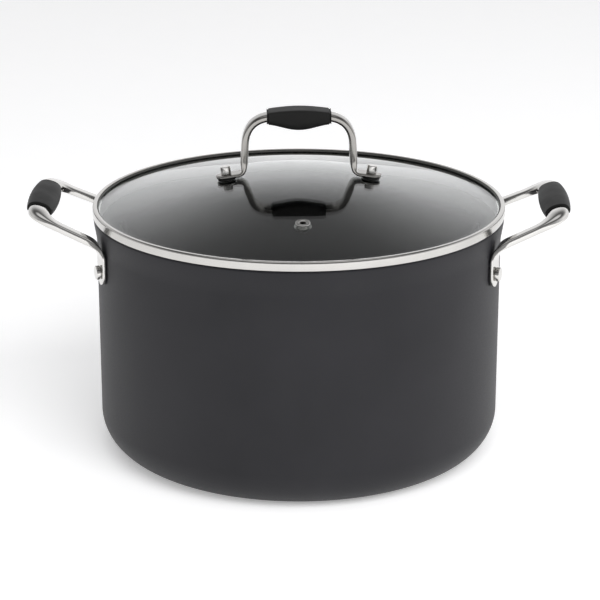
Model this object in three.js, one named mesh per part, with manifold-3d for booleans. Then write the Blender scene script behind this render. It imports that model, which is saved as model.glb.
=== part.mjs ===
// Covered stockpot: a spun aluminium pot with two riveted loop handles, and a domed glass lid
// in a steel rim band with an arched strap handle and a steam vent.
// Millimetres, +Z up. The origin is the centre of the base, on the surface the pot stands on.
// The side handles lie along X; the steam vent is on the -Y side of the lid.

import * as THREE from "three";
import { mergeVertices } from "three/addons/utils/BufferGeometryUtils.js";
import Module from "manifold-3d";

// ---------------------------------------------------------------- driving dimensions

const GAP = 0.3; // clearance between neighbouring pieces
const RING_STEPS = 64; // facets round the pot and the lid
const SMALL_STEPS = 18; // facets round rivets, washers and the vent
const LUG_STEPS = 24; // facets round a strap's round ends
const STRAP_SIDES = 10; // facets round a strap's section
const GRIP_SIDES = 16; // facets round a grip's section
const GRIP_STEPS = 12; // steps along a grip
const DOME_STEPS = 12; // steps from the centre of the glass to its flat margin

const pot = {
  outerR: 141.3, // straight wall, outside
  wall: 3.0,
  height: 170.0,
  base: 4.5, // thickness of the floor
  cornerR: 27.5, // outer radius of the bottom corner
  flare: 2.2, // how far the rim stands out past the wall
  flareHeight: 19.0, // height over which it flares
};

const band = {
  sheet: 0.8, // sheet thickness
  overhang: 0.5, // how far the band stands out past the pot's rim
  lip: 3.2, // width of the lip over the glass edge
  roll: 1.4, // radius of the rolled edge at the top
  fold: 0.6, // bevel of the folded edge at the bottom
  skirtDrop: 8.0, // how far the skirt reaches below the pot's rim
  skirtPlay: 1.4, // gap between skirt and pot wall
};

const seal = {
  thickness: 0.7,
  lap: 2.2, // how far it laps over the glass edge
  bead: 0.5, // how far its inner edge slopes back
};

const glass = {
  thickness: 3.0,
  rise: 21.6, // dome height, edge to crown
  crownR: 340, // radius of the round crown
  crownSpan: 62, // how far out from the centre the crown reaches
  flat: 3.6, // flat margin held by the band
};

const vent = {
  fromCentre: 88,
  holeR: 2.1,
  tubeR: 3.4,
  flangeR: 5.0,
  flangeThickness: 1.2,
  flangeBevel: 0.8,
  tubeDrop: 3.2, // how far the tube reaches below the glass
  washerR: 6.0,
  washerThickness: 1.2,
};

const sideHandle = {
  lugAngle: 20.2, // degrees from the X axis to each lug
  lugWidth: 15.5,
  lugThickness: 2.6,
  lugDrop: 32.0, // rim to the centre of the lug's round end
  rivetDrop: 31.0, // rim to the rivet
  bendDrop: 13.0, // rim to where the leg turns out from the wall
  gripLift: 6.4, // rim up to the middle of the grip
  reach: 37.0, // wall to the middle of the grip
  cornerY: 43.5, // half the distance between the loop's corners
  legWidth: 9.6,
  legThickness: 5.2,
  gripWidth: 14.6, // strap width where the grip holds it
  gripUp: 4.8, // strap thickness above the middle of the grip
  gripDown: 2.4, // and below it
  legSlope: 24, // degrees above level
  gripSlope: 17, // tilt of the strap under the grip
  bendSetback: 9,
  cornerSetback: 14,
};

const sideGrip = {
  halfLength: 29.5,
  endWidth: 16.8,
  midWidth: 20.8,
  endUp: 5.8,
  midUp: 6.9,
  endDown: 3.5,
  midDown: 6.2,
  barrelPower: 0.8, // how quickly the barrel swells from the ends
};

const sideRivet = { shankR: 3.2, headR: 4.9, headHeight: 2.8, innerHeadR: 6.2, innerHeadHeight: 2.4 };

const lidHandle = {
  rivetX: 50.0, // half the distance between the fasteners
  footR: 7.2,
  footThickness: 2.4,
  legInset: 12.1, // fastener in to the foot of the leg
  rise: 40.3, // glass crown to the middle of the strap at its shoulders
  lean: 1.5, // how far each leg leans in from foot to shoulder
  arch: 1.2, // extra height in the middle of the strap
  legWidth: 12.5,
  legThickness: 5.2,
  topWidth: 13.0,
  topThickness: 5.4,
  footSetback: 4,
  shoulderSetback: 19,
  crownSetback: 10,
};

const lidGrip = {
  halfLength: 22.2,
  lift: 0.5, // its middle line, above the middle of the strap
  endWidth: 16.4,
  midWidth: 17.5,
  endUp: 4.1, // above the middle line
  midUp: 6.1,
  endDown: 5.0, // below it
  midDown: 9.0,
  bellyPower: 1.7, // how quickly the belly swells from the ends
};

const lidRivet = { shankR: 2.4, headR: 3.6, headHeight: 5.2, tailR: 4.6, tailHeight: 1.8 };
const lidTurn = 2.6; // degrees: how the lid happens to sit on the pot
const washer = { outerR: 6.4, thickness: 0.8, cupR: 6.0, cupThickness: 0.9 };
const assemblySlack = 0.1; // extra length of each side rivet and lid fastener
const endInset = 0.03; // how far a strap's round end lies inside the strap's two faces

// How square the sections are: 1 is an ellipse, and towards 0 it becomes a rectangle.
const lugRounding = 0.25;
const strapRounding = 0.45;
const domedRounding = 0.85; // the strap's upper side where the side grips hold it
const sideGripRounding = 0.85;
const lidGripRounding = { up: 0.4, down: 0.6 };

// ---------------------------------------------------------------- derived dimensions

const rimR = pot.outerR + pot.flare; // pot's rim, outside
const mouthR = rimR - pot.wall; // pot's rim, inside
const bandR = rimR + band.overhang; // outermost radius of the lid
const bandZ = pot.height + GAP; // underside of the band
const bandHeight = 2 * band.sheet + glass.thickness + seal.thickness + 3 * GAP;
const bandTopZ = bandZ + bandHeight;
const skirtR = mouthR - band.skirtPlay; // outside of the skirt
const skirtZ = pot.height - band.skirtDrop;
const glassEdgeR = bandR - band.sheet - seal.thickness - 2 * GAP;
const glassUnderZ = bandZ + band.sheet + GAP; // underside of the glass at its edge
const glassFlatR = glassEdgeR - glass.flat;
const crownZ = glassUnderZ + glass.thickness + glass.rise;
const crownDrop = glass.crownR - Math.sqrt(glass.crownR ** 2 - glass.crownSpan ** 2);
const crownSlope = glass.crownSpan / Math.sqrt(glass.crownR ** 2 - glass.crownSpan ** 2);
const skirtSpan = glassFlatR - glass.crownSpan; // from the crown to the flat margin
const edgeSlope = (2 * (glass.rise - crownDrop)) / skirtSpan - crownSlope;
const strapR = pot.outerR + GAP + sideHandle.lugThickness / 2; // middle of a lug, from the axis
const lugCentreZ = pot.height - sideHandle.lugDrop;
const sideRivetZ = pot.height - sideHandle.rivetDrop;
const bendZ = pot.height - sideHandle.bendDrop;
const gripX = pot.outerR + sideHandle.reach;
const gripZ = pot.height + sideHandle.gripLift;
const legX = lidHandle.rivetX - lidHandle.legInset; // foot of each leg of the lid's handle
const lidStrapZ = crownZ + lidHandle.rise;
const drillLength = 10 * pot.wall; // through the wall and its curve
const glassDrill = 6 * glass.thickness;

const radians = THREE.MathUtils.degToRad;

// ---------------------------------------------------------------- materials

function material(color, roughness, metalness) {
  return new THREE.MeshStandardMaterial({ color, roughness, metalness });
}

const anodised = material(0x37383b, 0.55, 0.4);
const steel = material(0xc9c8c5, 0.25, 1.0);
const silicone = material(0x2f302f, 0.7, 0.0);
const clearGlass = material(0x9aa0a0, 0.05, 0.0);
const sealRubber = material(0x1e1e1e, 0.6, 0.0);

// ---------------------------------------------------------------- solids

const wasm = await Module();
wasm.setup();

// Turns a closed geometry, moved by its matrix, into a solid for joining and cutting.
function solid(geometry, matrix = new THREE.Matrix4()) {
  const shell = geometry.index ? geometry.toNonIndexed() : geometry.clone();
  shell.applyMatrix4(matrix);
  shell.deleteAttribute("normal");
  shell.deleteAttribute("uv");
  const merged = mergeVertices(shell, 1e-4);
  return new wasm.Manifold(new wasm.Mesh({
    numProp: 3,
    vertProperties: new Float32Array(merged.attributes.position.array),
    triVerts: new Uint32Array(merged.index.array),
  }));
}

function geometryOf(manifold) {
  const { vertProperties, triVerts } = manifold.getMesh();
  const geometry = new THREE.BufferGeometry();
  geometry.setAttribute("position", new THREE.BufferAttribute(new Float32Array(vertProperties), 3));
  geometry.setIndex(new THREE.BufferAttribute(new Uint32Array(triVerts), 1));
  geometry.computeVertexNormals();
  return geometry;
}

// A turned piece about Z from a list of [radius, height] points.
function turned(profile, steps) {
  const points = profile.map(([r, z]) => new THREE.Vector2(r, z));
  const geometry = new THREE.LatheGeometry(points, steps);
  geometry.rotateX(Math.PI / 2); // the lathe turns about Y
  return geometry;
}

// A turned ring: the same, with the profile closed on itself.
function turnedRing(profile, steps) {
  return turned([...profile, profile[0]], steps);
}

// Points of an arc, in degrees, for use in a turned profile.
function arc(centreR, centreZ, radius, from, to, steps) {
  const points = [];
  for (let i = 0; i <= steps; i++) {
    const angle = radians(from + ((to - from) * i) / steps);
    points.push([centreR + radius * Math.cos(angle), centreZ + radius * Math.sin(angle)]);
  }
  return points;
}

// A matrix that puts a piece turned about Z at a point, with its axis along a direction.
function along(point, direction) {
  const axis = new THREE.Vector3(0, 0, 1);
  const turn = new THREE.Quaternion().setFromUnitVectors(axis, direction.clone().normalize());
  return new THREE.Matrix4().compose(point, turn, new THREE.Vector3(1, 1, 1));
}

function cylinder(radius, length, steps = SMALL_STEPS) {
  return turned([[0, -length / 2], [radius, -length / 2], [radius, length / 2], [0, length / 2]], steps);
}

// ---------------------------------------------------------------- bent straps

// A path through corner points, with each corner rounded off by its setback.
function roundedPath(corners, setbacks) {
  const path = new THREE.CurvePath();
  let from = corners[0];
  for (let i = 1; i < corners.length - 1; i++) {
    const before = corners[i].clone().sub(corners[i - 1]).setLength(setbacks[i]);
    const after = corners[i + 1].clone().sub(corners[i]).setLength(setbacks[i]);
    const start = corners[i].clone().sub(before);
    const end = corners[i].clone().add(after);
    path.add(new THREE.LineCurve3(from, start));
    path.add(new THREE.QuadraticBezierCurve3(start, corners[i].clone(), end));
    from = end;
  }
  path.add(new THREE.LineCurve3(from, corners[corners.length - 1]));
  return path;
}

// Outline of a strap's section: a rectangle with rounded sides, centred on its path.
function sectionPoint(angle, size) {
  const c = Math.cos(angle);
  const s = Math.sin(angle);
  const power = s > 0 ? size.rounding.up : size.rounding.down;
  const x = Math.sign(c) * Math.abs(c) ** power * (size.width / 2);
  const y = Math.sign(s) * Math.abs(s) ** power * (s > 0 ? size.up : size.down);
  return [x, y];
}

// Sweeps a section along a path. sizeAt(t) gives { width, up, down, rounding }; upAt(t) gives the
// direction that the section's upper side faces. Both ends are closed with flat caps.
function sweep(path, sizeAt, upAt, stations, sides) {
  const positions = [];
  const indices = [];
  for (const t of stations) {
    const centre = path.getPointAt(t);
    const tangent = path.getTangentAt(t);
    const across = new THREE.Vector3().crossVectors(tangent, upAt(t)).normalize();
    const up = new THREE.Vector3().crossVectors(across, tangent).normalize();
    const size = sizeAt(t);
    for (let j = 0; j < sides; j++) {
      const angle = (2 * Math.PI * (j + 0.5)) / sides;
      const [x, y] = sectionPoint(angle, size);
      const point = centre.clone().addScaledVector(across, x).addScaledVector(up, y);
      positions.push(point.x, point.y, point.z);
    }
  }
  const last = stations.length - 1;
  for (let i = 0; i < last; i++) {
    for (let j = 0; j < sides; j++) {
      const a = i * sides + j;
      const b = i * sides + ((j + 1) % sides);
      indices.push(a, b + sides, b, a, a + sides, b + sides);
    }
  }
  for (let j = 1; j < sides - 1; j++) {
    indices.push(0, j, j + 1);
    indices.push(last * sides, last * sides + j + 1, last * sides + j);
  }
  const geometry = new THREE.BufferGeometry();
  geometry.setAttribute("position", new THREE.Float32BufferAttribute(positions, 3));
  geometry.setIndex(indices);
  return geometry;
}

function evenly(power) {
  return { up: power, down: power };
}

// Stations along a rounded path: the two ends of each straight stretch, and steps round each bend.
function pathStations(path, bendSteps = 5) {
  const lengths = path.curves.map((curve) => curve.getLength());
  const total = lengths.reduce((sum, length) => sum + length, 0);
  const stations = [0];
  let travelled = 0;
  path.curves.forEach((curve, index) => {
    const steps = index % 2 ? bendSteps : 2; // every other curve is a bend
    for (let k = 1; k <= steps; k++) {
      stations.push(Math.min(1, (travelled + (lengths[index] * k) / steps) / total));
    }
    travelled += lengths[index];
  });
  return [...new Set(stations)].sort((a, b) => a - b);
}

function smoothstep(low, high, value) {
  return THREE.MathUtils.smoothstep(value, low, high);
}

function blend(a, b, weight) {
  return a + (b - a) * weight;
}

// ---------------------------------------------------------------- pot

// Radius of the pot's outside at a height above the bottom corner.
function wallR(z) {
  const rise = Math.max(0, z - (pot.height - pot.flareHeight)) / pot.flareHeight;
  return pot.outerR + pot.flare * smoothstep(0, 1, rise);
}

function potProfile() {
  const innerCornerR = pot.cornerR - pot.wall;
  const floorR = pot.outerR - pot.cornerR;
  const flareSteps = 3;
  const outer = [];
  const inner = [];
  for (let i = 0; i <= flareSteps; i++) {
    const z = pot.height - pot.flareHeight + ((pot.flareHeight - pot.wall / 2) * i) / flareSteps;
    outer.push([wallR(z), z]);
    inner.unshift([wallR(z) - pot.wall, z]);
  }
  return [
    [0, 0],
    ...arc(floorR, pot.cornerR, pot.cornerR, -90, 0, 7),
    ...outer,
    ...arc(rimR - pot.wall / 2, pot.height - pot.wall / 2, pot.wall / 2, 45, 135, 2),
    ...inner,
    ...arc(floorR, pot.base + innerCornerR, innerCornerR, 0, -90, 5),
    [0, pot.base],
  ];
}

// The two lugs of the right-hand handle: directions out of the pot.
const lugDirections = [-1, 1].map((side) => {
  const angle = radians(sideHandle.lugAngle) * side;
  return new THREE.Vector3(Math.cos(angle), Math.sin(angle), 0);
});

const halfTurn = new THREE.Matrix4().makeRotationZ(Math.PI);

function potBody() {
  let body = solid(turned(potProfile(), RING_STEPS));
  const drill = cylinder(sideRivet.shankR + GAP, drillLength);
  for (const direction of lugDirections) {
    const place = along(direction.clone().multiplyScalar(pot.outerR).setZ(sideRivetZ), direction);
    for (const side of [new THREE.Matrix4(), halfTurn]) {
      body = body.subtract(solid(drill, side.clone().multiply(place)));
    }
  }
  return geometryOf(body);
}

// ---------------------------------------------------------------- side handles

// Middle line of the right-hand loop, from the front lug round the grip to the rear lug.
function sideHandlePath() {
  const [front, rear] = lugDirections;
  const at = (direction, z) => direction.clone().multiplyScalar(strapR).setZ(z);
  const corner = (side) => new THREE.Vector3(gripX, side * sideHandle.cornerY, gripZ);
  const corners = [
    at(front, lugCentreZ),
    at(front, bendZ),
    corner(-1),
    corner(1),
    at(rear, bendZ),
    at(rear, lugCentreZ),
  ];
  const { bendSetback, cornerSetback } = sideHandle;
  return roundedPath(corners, [0, bendSetback, cornerSetback, cornerSetback, bendSetback, 0]);
}

// Share of the path, from either end, at which each change of section begins and ends.
function sideHandleZones(path) {
  const total = path.getLength();
  const lug = bendZ - lugCentreZ;
  const grip = 2 * sideHandle.cornerY;
  return {
    lugEnd: (lug - sideHandle.bendSetback) / total,
    legStart: (lug + sideHandle.bendSetback) / total,
    legEnd: (total - grip) / 2 / total - sideHandle.cornerSetback / total,
    gripStart: (total - grip) / 2 / total + sideHandle.cornerSetback / 2 / total,
  };
}

// The loop's bent strap, grown by a clearance on every side where it is used to bore the sleeve.
function sideStrapSweep(grow = 0) {
  const path = sideHandlePath();
  const zones = sideHandleZones(path);
  const [front, rear] = lugDirections;
  const tilted = (slope) => new THREE.Vector3(-Math.sin(radians(slope)), 0, Math.cos(radians(slope)));
  const sizeAt = (t) => {
    const s = Math.min(t, 1 - t);
    const leg = smoothstep(zones.lugEnd, zones.legStart, s);
    const grip = smoothstep(zones.legEnd, zones.gripStart, s);
    const { lugWidth, legWidth, gripWidth, lugThickness, legThickness, gripUp, gripDown } = sideHandle;
    const width = blend(blend(lugWidth, legWidth, leg), gripWidth, grip);
    // while it leaves the wall, the strap thickens on its outer side only
    const thickness = blend(lugThickness, legThickness, leg);
    const up = blend(lugThickness, legThickness, leg ** 2) / 2;
    return {
      width: width + 2 * grow,
      up: blend(up, gripUp, grip) + grow,
      down: blend(thickness - up, gripDown, grip) + grow,
      rounding: {
        up: blend(blend(lugRounding, strapRounding, leg), domedRounding, grip),
        down: blend(lugRounding, strapRounding, leg),
      },
    };
  };
  const upAt = (t) => {
    const s = Math.min(t, 1 - t);
    const inward = (t < 0.5 ? front : rear).clone().negate();
    const leg = smoothstep(zones.lugEnd, zones.legStart, s);
    const grip = smoothstep(zones.legEnd, zones.gripStart, s);
    const slope = blend(sideHandle.legSlope, sideHandle.gripSlope, grip);
    return inward.lerp(tilted(slope), leg).normalize();
  };
  return solid(sweep(path, sizeAt, upAt, pathStations(path), STRAP_SIDES));
}

function sideStrap() {
  const lugEnd = cylinder(sideHandle.lugWidth / 2, sideHandle.lugThickness - 2 * endInset, LUG_STEPS);
  const hole = cylinder(sideRivet.shankR + GAP, drillLength);
  let result = sideStrapSweep();
  for (const direction of lugDirections) {
    const place = (z) => along(direction.clone().multiplyScalar(strapR).setZ(z), direction);
    result = result.add(solid(lugEnd, place(lugCentreZ)));
    result = result.subtract(solid(hole, place(sideRivetZ)));
  }
  return result;
}

// The silicone sleeve round the loop: a barrel bored to the strap.
function sideSleeve() {
  const half = sideGrip.halfLength;
  const line = new THREE.LineCurve3(
    new THREE.Vector3(gripX, -half, gripZ),
    new THREE.Vector3(gripX, half, gripZ),
  );
  const slope = radians(sideHandle.gripSlope);
  const tilt = new THREE.Vector3(-Math.sin(slope), 0, Math.cos(slope));
  const sizeAt = (t) => {
    const bulge = Math.sin(Math.PI * t) ** sideGrip.barrelPower;
    return {
      width: blend(sideGrip.endWidth, sideGrip.midWidth, bulge),
      up: blend(sideGrip.endUp, sideGrip.midUp, bulge),
      down: blend(sideGrip.endDown, sideGrip.midDown, bulge),
      rounding: evenly(sideGripRounding),
    };
  };
  const stations = Array.from({ length: GRIP_STEPS + 1 }, (_, i) => i / GRIP_STEPS);
  const barrel = solid(sweep(line, sizeAt, () => tilt, stations, GRIP_SIDES));
  return barrel.subtract(sideStrapSweep(GAP));
}

// A rivet turned about Z: its shank crosses a stack that starts at z = 0 and is `stack` thick.
function rivet(shankR, stack, head, tail) {
  return turned([
    [0, -GAP - tail.height],
    [tail.r * 0.8, -GAP - tail.height],
    [tail.r, -GAP - tail.height * 0.5],
    [tail.r, -GAP],
    [shankR, -GAP],
    [shankR, stack + GAP],
    [head.r, stack + GAP],
    [head.r, stack + GAP + head.height * 0.8],
    [head.r * 0.85, stack + GAP + head.height],
    [0, stack + GAP + head.height],
  ], SMALL_STEPS);
}

function sideRivetGeometry() {
  const stack = pot.wall + GAP + sideHandle.lugThickness + assemblySlack;
  const head = { r: sideRivet.headR, height: sideRivet.headHeight };
  const tail = { r: sideRivet.innerHeadR, height: sideRivet.innerHeadHeight };
  return rivet(sideRivet.shankR, stack, head, tail);
}

// ---------------------------------------------------------------- lid

// Slope of the glass's upper surface at a radius: a round crown, then an even change to the edge.
function domeSlope(radius) {
  if (radius <= glass.crownSpan) {
    return radius / Math.sqrt(glass.crownR ** 2 - radius ** 2);
  }
  return blend(crownSlope, edgeSlope, (radius - glass.crownSpan) / skirtSpan);
}

// Height of the glass's upper surface at a radius.
function domeZ(radius) {
  if (radius <= glass.crownSpan) {
    return crownZ - glass.crownR + Math.sqrt(glass.crownR ** 2 - radius ** 2);
  }
  const meanSlope = (crownSlope + domeSlope(radius)) / 2;
  return crownZ - crownDrop - meanSlope * (radius - glass.crownSpan);
}

// Outward direction of the dome at a point on the X or Y axis.
function domeNormal(x, y) {
  const radius = Math.hypot(x, y);
  const slope = domeSlope(radius);
  return new THREE.Vector3((slope * x) / radius, (slope * y) / radius, 1).normalize();
}

function lidGlass() {
  const upper = [];
  const lower = [];
  for (let i = 0; i <= DOME_STEPS; i++) {
    const r = (glassFlatR * i) / DOME_STEPS;
    upper.unshift([r, domeZ(r)]);
    lower.push([r, domeZ(r) - glass.thickness]);
  }
  const edge = [[glassEdgeR, glassUnderZ], [glassEdgeR, glassUnderZ + glass.thickness]];
  const profile = [...lower, ...edge, ...upper];
  let body = solid(turned(profile, RING_STEPS));
  const rivetHole = cylinder(lidRivet.shankR + GAP, glassDrill);
  for (const side of [-1, 1]) {
    body = body.subtract(solid(rivetHole, lidRivetPlace(side)));
  }
  return geometryOf(body.subtract(solid(cylinder(vent.tubeR + GAP, glassDrill), ventPlace())));
}

function lidRimBand() {
  const { sheet, roll, fold } = band;
  const lipR = bandR - band.lip;
  const inside = roll - sheet; // the roll's inner radius
  return turnedRing([
    [skirtR - sheet, skirtZ],
    [skirtR, skirtZ],
    [skirtR, bandZ],
    [bandR - fold, bandZ],
    [bandR, bandZ + fold],
    ...arc(bandR - roll, bandTopZ - roll, roll, 0, 90, 3),
    [lipR, bandTopZ],
    [lipR, bandTopZ - sheet],
    [bandR - sheet - inside, bandTopZ - sheet],
    [bandR - sheet, bandTopZ - sheet - inside],
    [bandR - sheet, bandZ + sheet],
    [skirtR - sheet, bandZ + sheet],
  ], RING_STEPS);
}

// Bedding ring: fills the channel round the glass edge and shows as a thin line inside the lip.
function lidRimSeal() {
  const outer = glassEdgeR + GAP + seal.thickness;
  const inner = glassEdgeR - seal.lap;
  const above = glassUnderZ + glass.thickness + GAP;
  const top = above + seal.thickness;
  const chamfer = band.roll - band.sheet; // clears the inside of the band's roll
  return turnedRing([
    [glassEdgeR + GAP, glassUnderZ],
    [outer, glassUnderZ],
    [outer, top - chamfer],
    [outer - chamfer, top],
    [inner + seal.bead, top],
    [inner, above],
    [glassEdgeR + GAP, above],
  ], RING_STEPS);
}

// Where a handle fastener crosses the glass: its axis is square to the dome, z = 0 at the upper surface.
function lidRivetPlace(side) {
  const x = side * lidHandle.rivetX;
  return along(new THREE.Vector3(x, 0, domeZ(lidHandle.rivetX)), domeNormal(x, 0));
}

function ventPlace() {
  const y = -vent.fromCentre;
  return along(new THREE.Vector3(0, y, domeZ(vent.fromCentre)), domeNormal(0, y));
}

// Height of the foot's middle above the glass: it sits on its washer.
const footLift = GAP + washer.thickness + GAP + lidHandle.footThickness / 2;

function lidHandlePath() {
  const foot = (side, out) => {
    const normal = domeNormal(side * lidHandle.rivetX, 0);
    const slope = new THREE.Vector3(normal.z, 0, -normal.x).multiplyScalar(side * out);
    const base = new THREE.Vector3(side * lidHandle.rivetX, 0, domeZ(lidHandle.rivetX));
    return base.addScaledVector(normal, footLift).add(slope);
  };
  const bend = -lidHandle.legInset;
  const shoulder = (side) => new THREE.Vector3(side * (legX - lidHandle.lean), 0, lidStrapZ);
  const crown = new THREE.Vector3(0, 0, lidStrapZ + lidHandle.arch);
  const corners = [foot(-1, 0), foot(-1, bend), shoulder(-1), crown, shoulder(1), foot(1, bend), foot(1, 0)];
  const { footSetback, shoulderSetback } = lidHandle;
  const straight = legX - lidHandle.lean - shoulderSetback; // what the shoulders leave of the top
  const crownSetback = Math.min(lidHandle.crownSetback, straight);
  const ends = [0, footSetback, shoulderSetback];
  return roundedPath(corners, [...ends, crownSetback, ...ends.reverse()]);
}

// The arched strap, grown by a clearance on every side where it is used to bore the sleeve.
function lidStrapSweep(grow = 0) {
  const path = lidHandlePath();
  const total = path.getLength();
  const bend = lidHandle.legInset;
  const footEnd = (bend - lidHandle.footSetback) / total;
  const legStart = (bend + 2 * lidHandle.footSetback) / total;
  const legEnd = (bend + lidStrapZ - domeZ(legX) - lidHandle.shoulderSetback) / total;
  const topStart = legEnd + (2 * lidHandle.shoulderSetback) / total;
  const sizeAt = (t) => {
    const s = Math.min(t, 1 - t);
    const leg = smoothstep(footEnd, legStart, s);
    const top = smoothstep(legEnd, topStart, s);
    const width = blend(blend(2 * lidHandle.footR, lidHandle.legWidth, leg), lidHandle.topWidth, top);
    const { footThickness, legThickness, topThickness } = lidHandle;
    const half = blend(blend(footThickness, legThickness, leg), topThickness, top) / 2 + grow;
    return { width: width + 2 * grow, up: half, down: half, rounding: evenly(strapRounding) };
  };
  const upAt = (t) => {
    const tangent = path.getTangentAt(t);
    return new THREE.Vector3(-tangent.z, 0, tangent.x);
  };
  return solid(sweep(path, sizeAt, upAt, pathStations(path), STRAP_SIDES));
}

function lidStrap() {
  let strap = lidStrapSweep();
  const footEndDisc = cylinder(lidHandle.footR, lidHandle.footThickness - 2 * endInset, LUG_STEPS);
  const hole = cylinder(lidRivet.shankR + GAP, glassDrill);
  for (const side of [-1, 1]) {
    const lifted = lidRivetPlace(side).multiply(new THREE.Matrix4().makeTranslation(0, 0, footLift));
    strap = strap.add(solid(footEndDisc, lifted));
    strap = strap.subtract(solid(hole, lidRivetPlace(side)));
  }
  return strap;
}

function lidSleeve() {
  const half = lidGrip.halfLength;
  const line = new THREE.LineCurve3(
    new THREE.Vector3(-half, 0, lidStrapZ + lidGrip.lift),
    new THREE.Vector3(half, 0, lidStrapZ + lidGrip.lift),
  );
  const up = new THREE.Vector3(0, 0, 1);
  const sizeAt = (t) => {
    const middle = Math.sin(Math.PI * t);
    const belly = middle ** lidGrip.bellyPower;
    return {
      width: blend(lidGrip.endWidth, lidGrip.midWidth, middle),
      up: blend(lidGrip.endUp, lidGrip.midUp, middle),
      down: blend(lidGrip.endDown, lidGrip.midDown, belly),
      rounding: lidGripRounding,
    };
  };
  const stations = Array.from({ length: GRIP_STEPS + 1 }, (_, i) => i / GRIP_STEPS);
  const sleeve = solid(sweep(line, sizeAt, () => up, stations, GRIP_SIDES));
  return sleeve.subtract(lidStrapSweep(GAP));
}

function lidRivetGeometry() {
  const under = glass.thickness + GAP + washer.thickness + GAP + washer.cupThickness + assemblySlack;
  const above = footLift + lidHandle.footThickness / 2;
  const head = { r: lidRivet.headR, height: lidRivet.headHeight };
  const tail = { r: lidRivet.tailR, height: lidRivet.tailHeight };
  return rivet(lidRivet.shankR, under + above, head, tail).translate(0, 0, -under);
}

function washerGeometry(outerR, innerR, thickness, z) {
  const top = z + thickness;
  return turnedRing([[innerR, z], [outerR, z], [outerR, top], [innerR, top]], SMALL_STEPS);
}

// Steam vent: a tube through the glass with a flange above and a rolled end below.
function ventEyelet() {
  const below = -glass.thickness - vent.tubeDrop;
  const top = GAP + vent.flangeThickness;
  const shoulder = GAP + vent.flangeThickness / 2;
  return turnedRing([
    [vent.holeR, below],
    [vent.tubeR, below],
    [vent.tubeR, GAP],
    [vent.flangeR, GAP],
    [vent.flangeR, shoulder],
    [vent.flangeR - vent.flangeBevel, top],
    [vent.holeR + vent.flangeBevel / 2, top],
    [vent.holeR, shoulder],
  ], SMALL_STEPS);
}

// ---------------------------------------------------------------- assembly

const stockpot = new THREE.Group();

function place(parent, name, geometry, look, matrix = new THREE.Matrix4()) {
  const mesh = new THREE.Mesh(geometry, look);
  mesh.name = name;
  mesh.applyMatrix4(matrix);
  parent.add(mesh);
}

const potGroup = new THREE.Group();
const lidGroup = new THREE.Group();
lidGroup.rotation.z = radians(lidTurn);
stockpot.add(potGroup, lidGroup);

place(potGroup, "pot_body", potBody(), anodised);

const strapGeometry = geometryOf(sideStrap());
const sleeveGeometry = geometryOf(sideSleeve());
const rivetGeometry = sideRivetGeometry();
const sides = { right: new THREE.Matrix4(), left: halfTurn };
for (const [side, turn] of Object.entries(sides)) {
  place(potGroup, `side_handle_${side}`, strapGeometry, steel, turn);
  place(potGroup, `side_grip_${side}`, sleeveGeometry, silicone, turn);
  lugDirections.forEach((direction, index) => {
    const innerWall = direction.clone().multiplyScalar(pot.outerR - pot.wall).setZ(sideRivetZ);
    const isFront = (index === 0) === (side === "right");
    const matrix = turn.clone().multiply(along(innerWall, direction));
    place(potGroup, `side_rivet_${side}_${isFront ? "front" : "rear"}`, rivetGeometry, steel, matrix);
  });
}

place(lidGroup, "lid_glass", lidGlass(), clearGlass);
place(lidGroup, "lid_rim_band", lidRimBand(), steel);
place(lidGroup, "lid_rim_seal", lidRimSeal(), sealRubber);
place(lidGroup, "lid_handle", geometryOf(lidStrap()), steel);
place(lidGroup, "lid_handle_grip", geometryOf(lidSleeve()), silicone);

const washerHoleR = lidRivet.shankR + GAP;
const innerWasherZ = -glass.thickness - GAP - washer.thickness;
const cupZ = innerWasherZ - GAP - washer.cupThickness;
for (const [side, sign] of [["left", -1], ["right", 1]]) {
  const matrix = lidRivetPlace(sign);
  const footWasher = washerGeometry(washer.outerR, washerHoleR, washer.thickness, GAP);
  const innerWasher = washerGeometry(washer.outerR, washerHoleR, washer.thickness, innerWasherZ);
  const cup = washerGeometry(washer.cupR, washerHoleR, washer.cupThickness, cupZ);
  place(lidGroup, `lid_rivet_${side}`, lidRivetGeometry(), steel, matrix);
  place(lidGroup, `lid_foot_washer_${side}`, footWasher, silicone, matrix);
  place(lidGroup, `lid_inner_washer_${side}`, innerWasher, silicone, matrix);
  place(lidGroup, `lid_backing_cup_${side}`, cup, steel, matrix);
}

const ventWasherZ = -glass.thickness - GAP - vent.washerThickness;
const ventWasher = washerGeometry(vent.washerR, vent.tubeR + GAP, vent.washerThickness, ventWasherZ);
place(lidGroup, "vent_eyelet", ventEyelet(), steel, ventPlace());
place(lidGroup, "vent_washer", ventWasher, steel, ventPlace());

export default stockpot;
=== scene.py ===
"""Looks of the covered stockpot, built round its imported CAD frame. Metres, +Z up."""

import math

import bmesh
import bpy
from mathutils import Matrix, Vector


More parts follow.
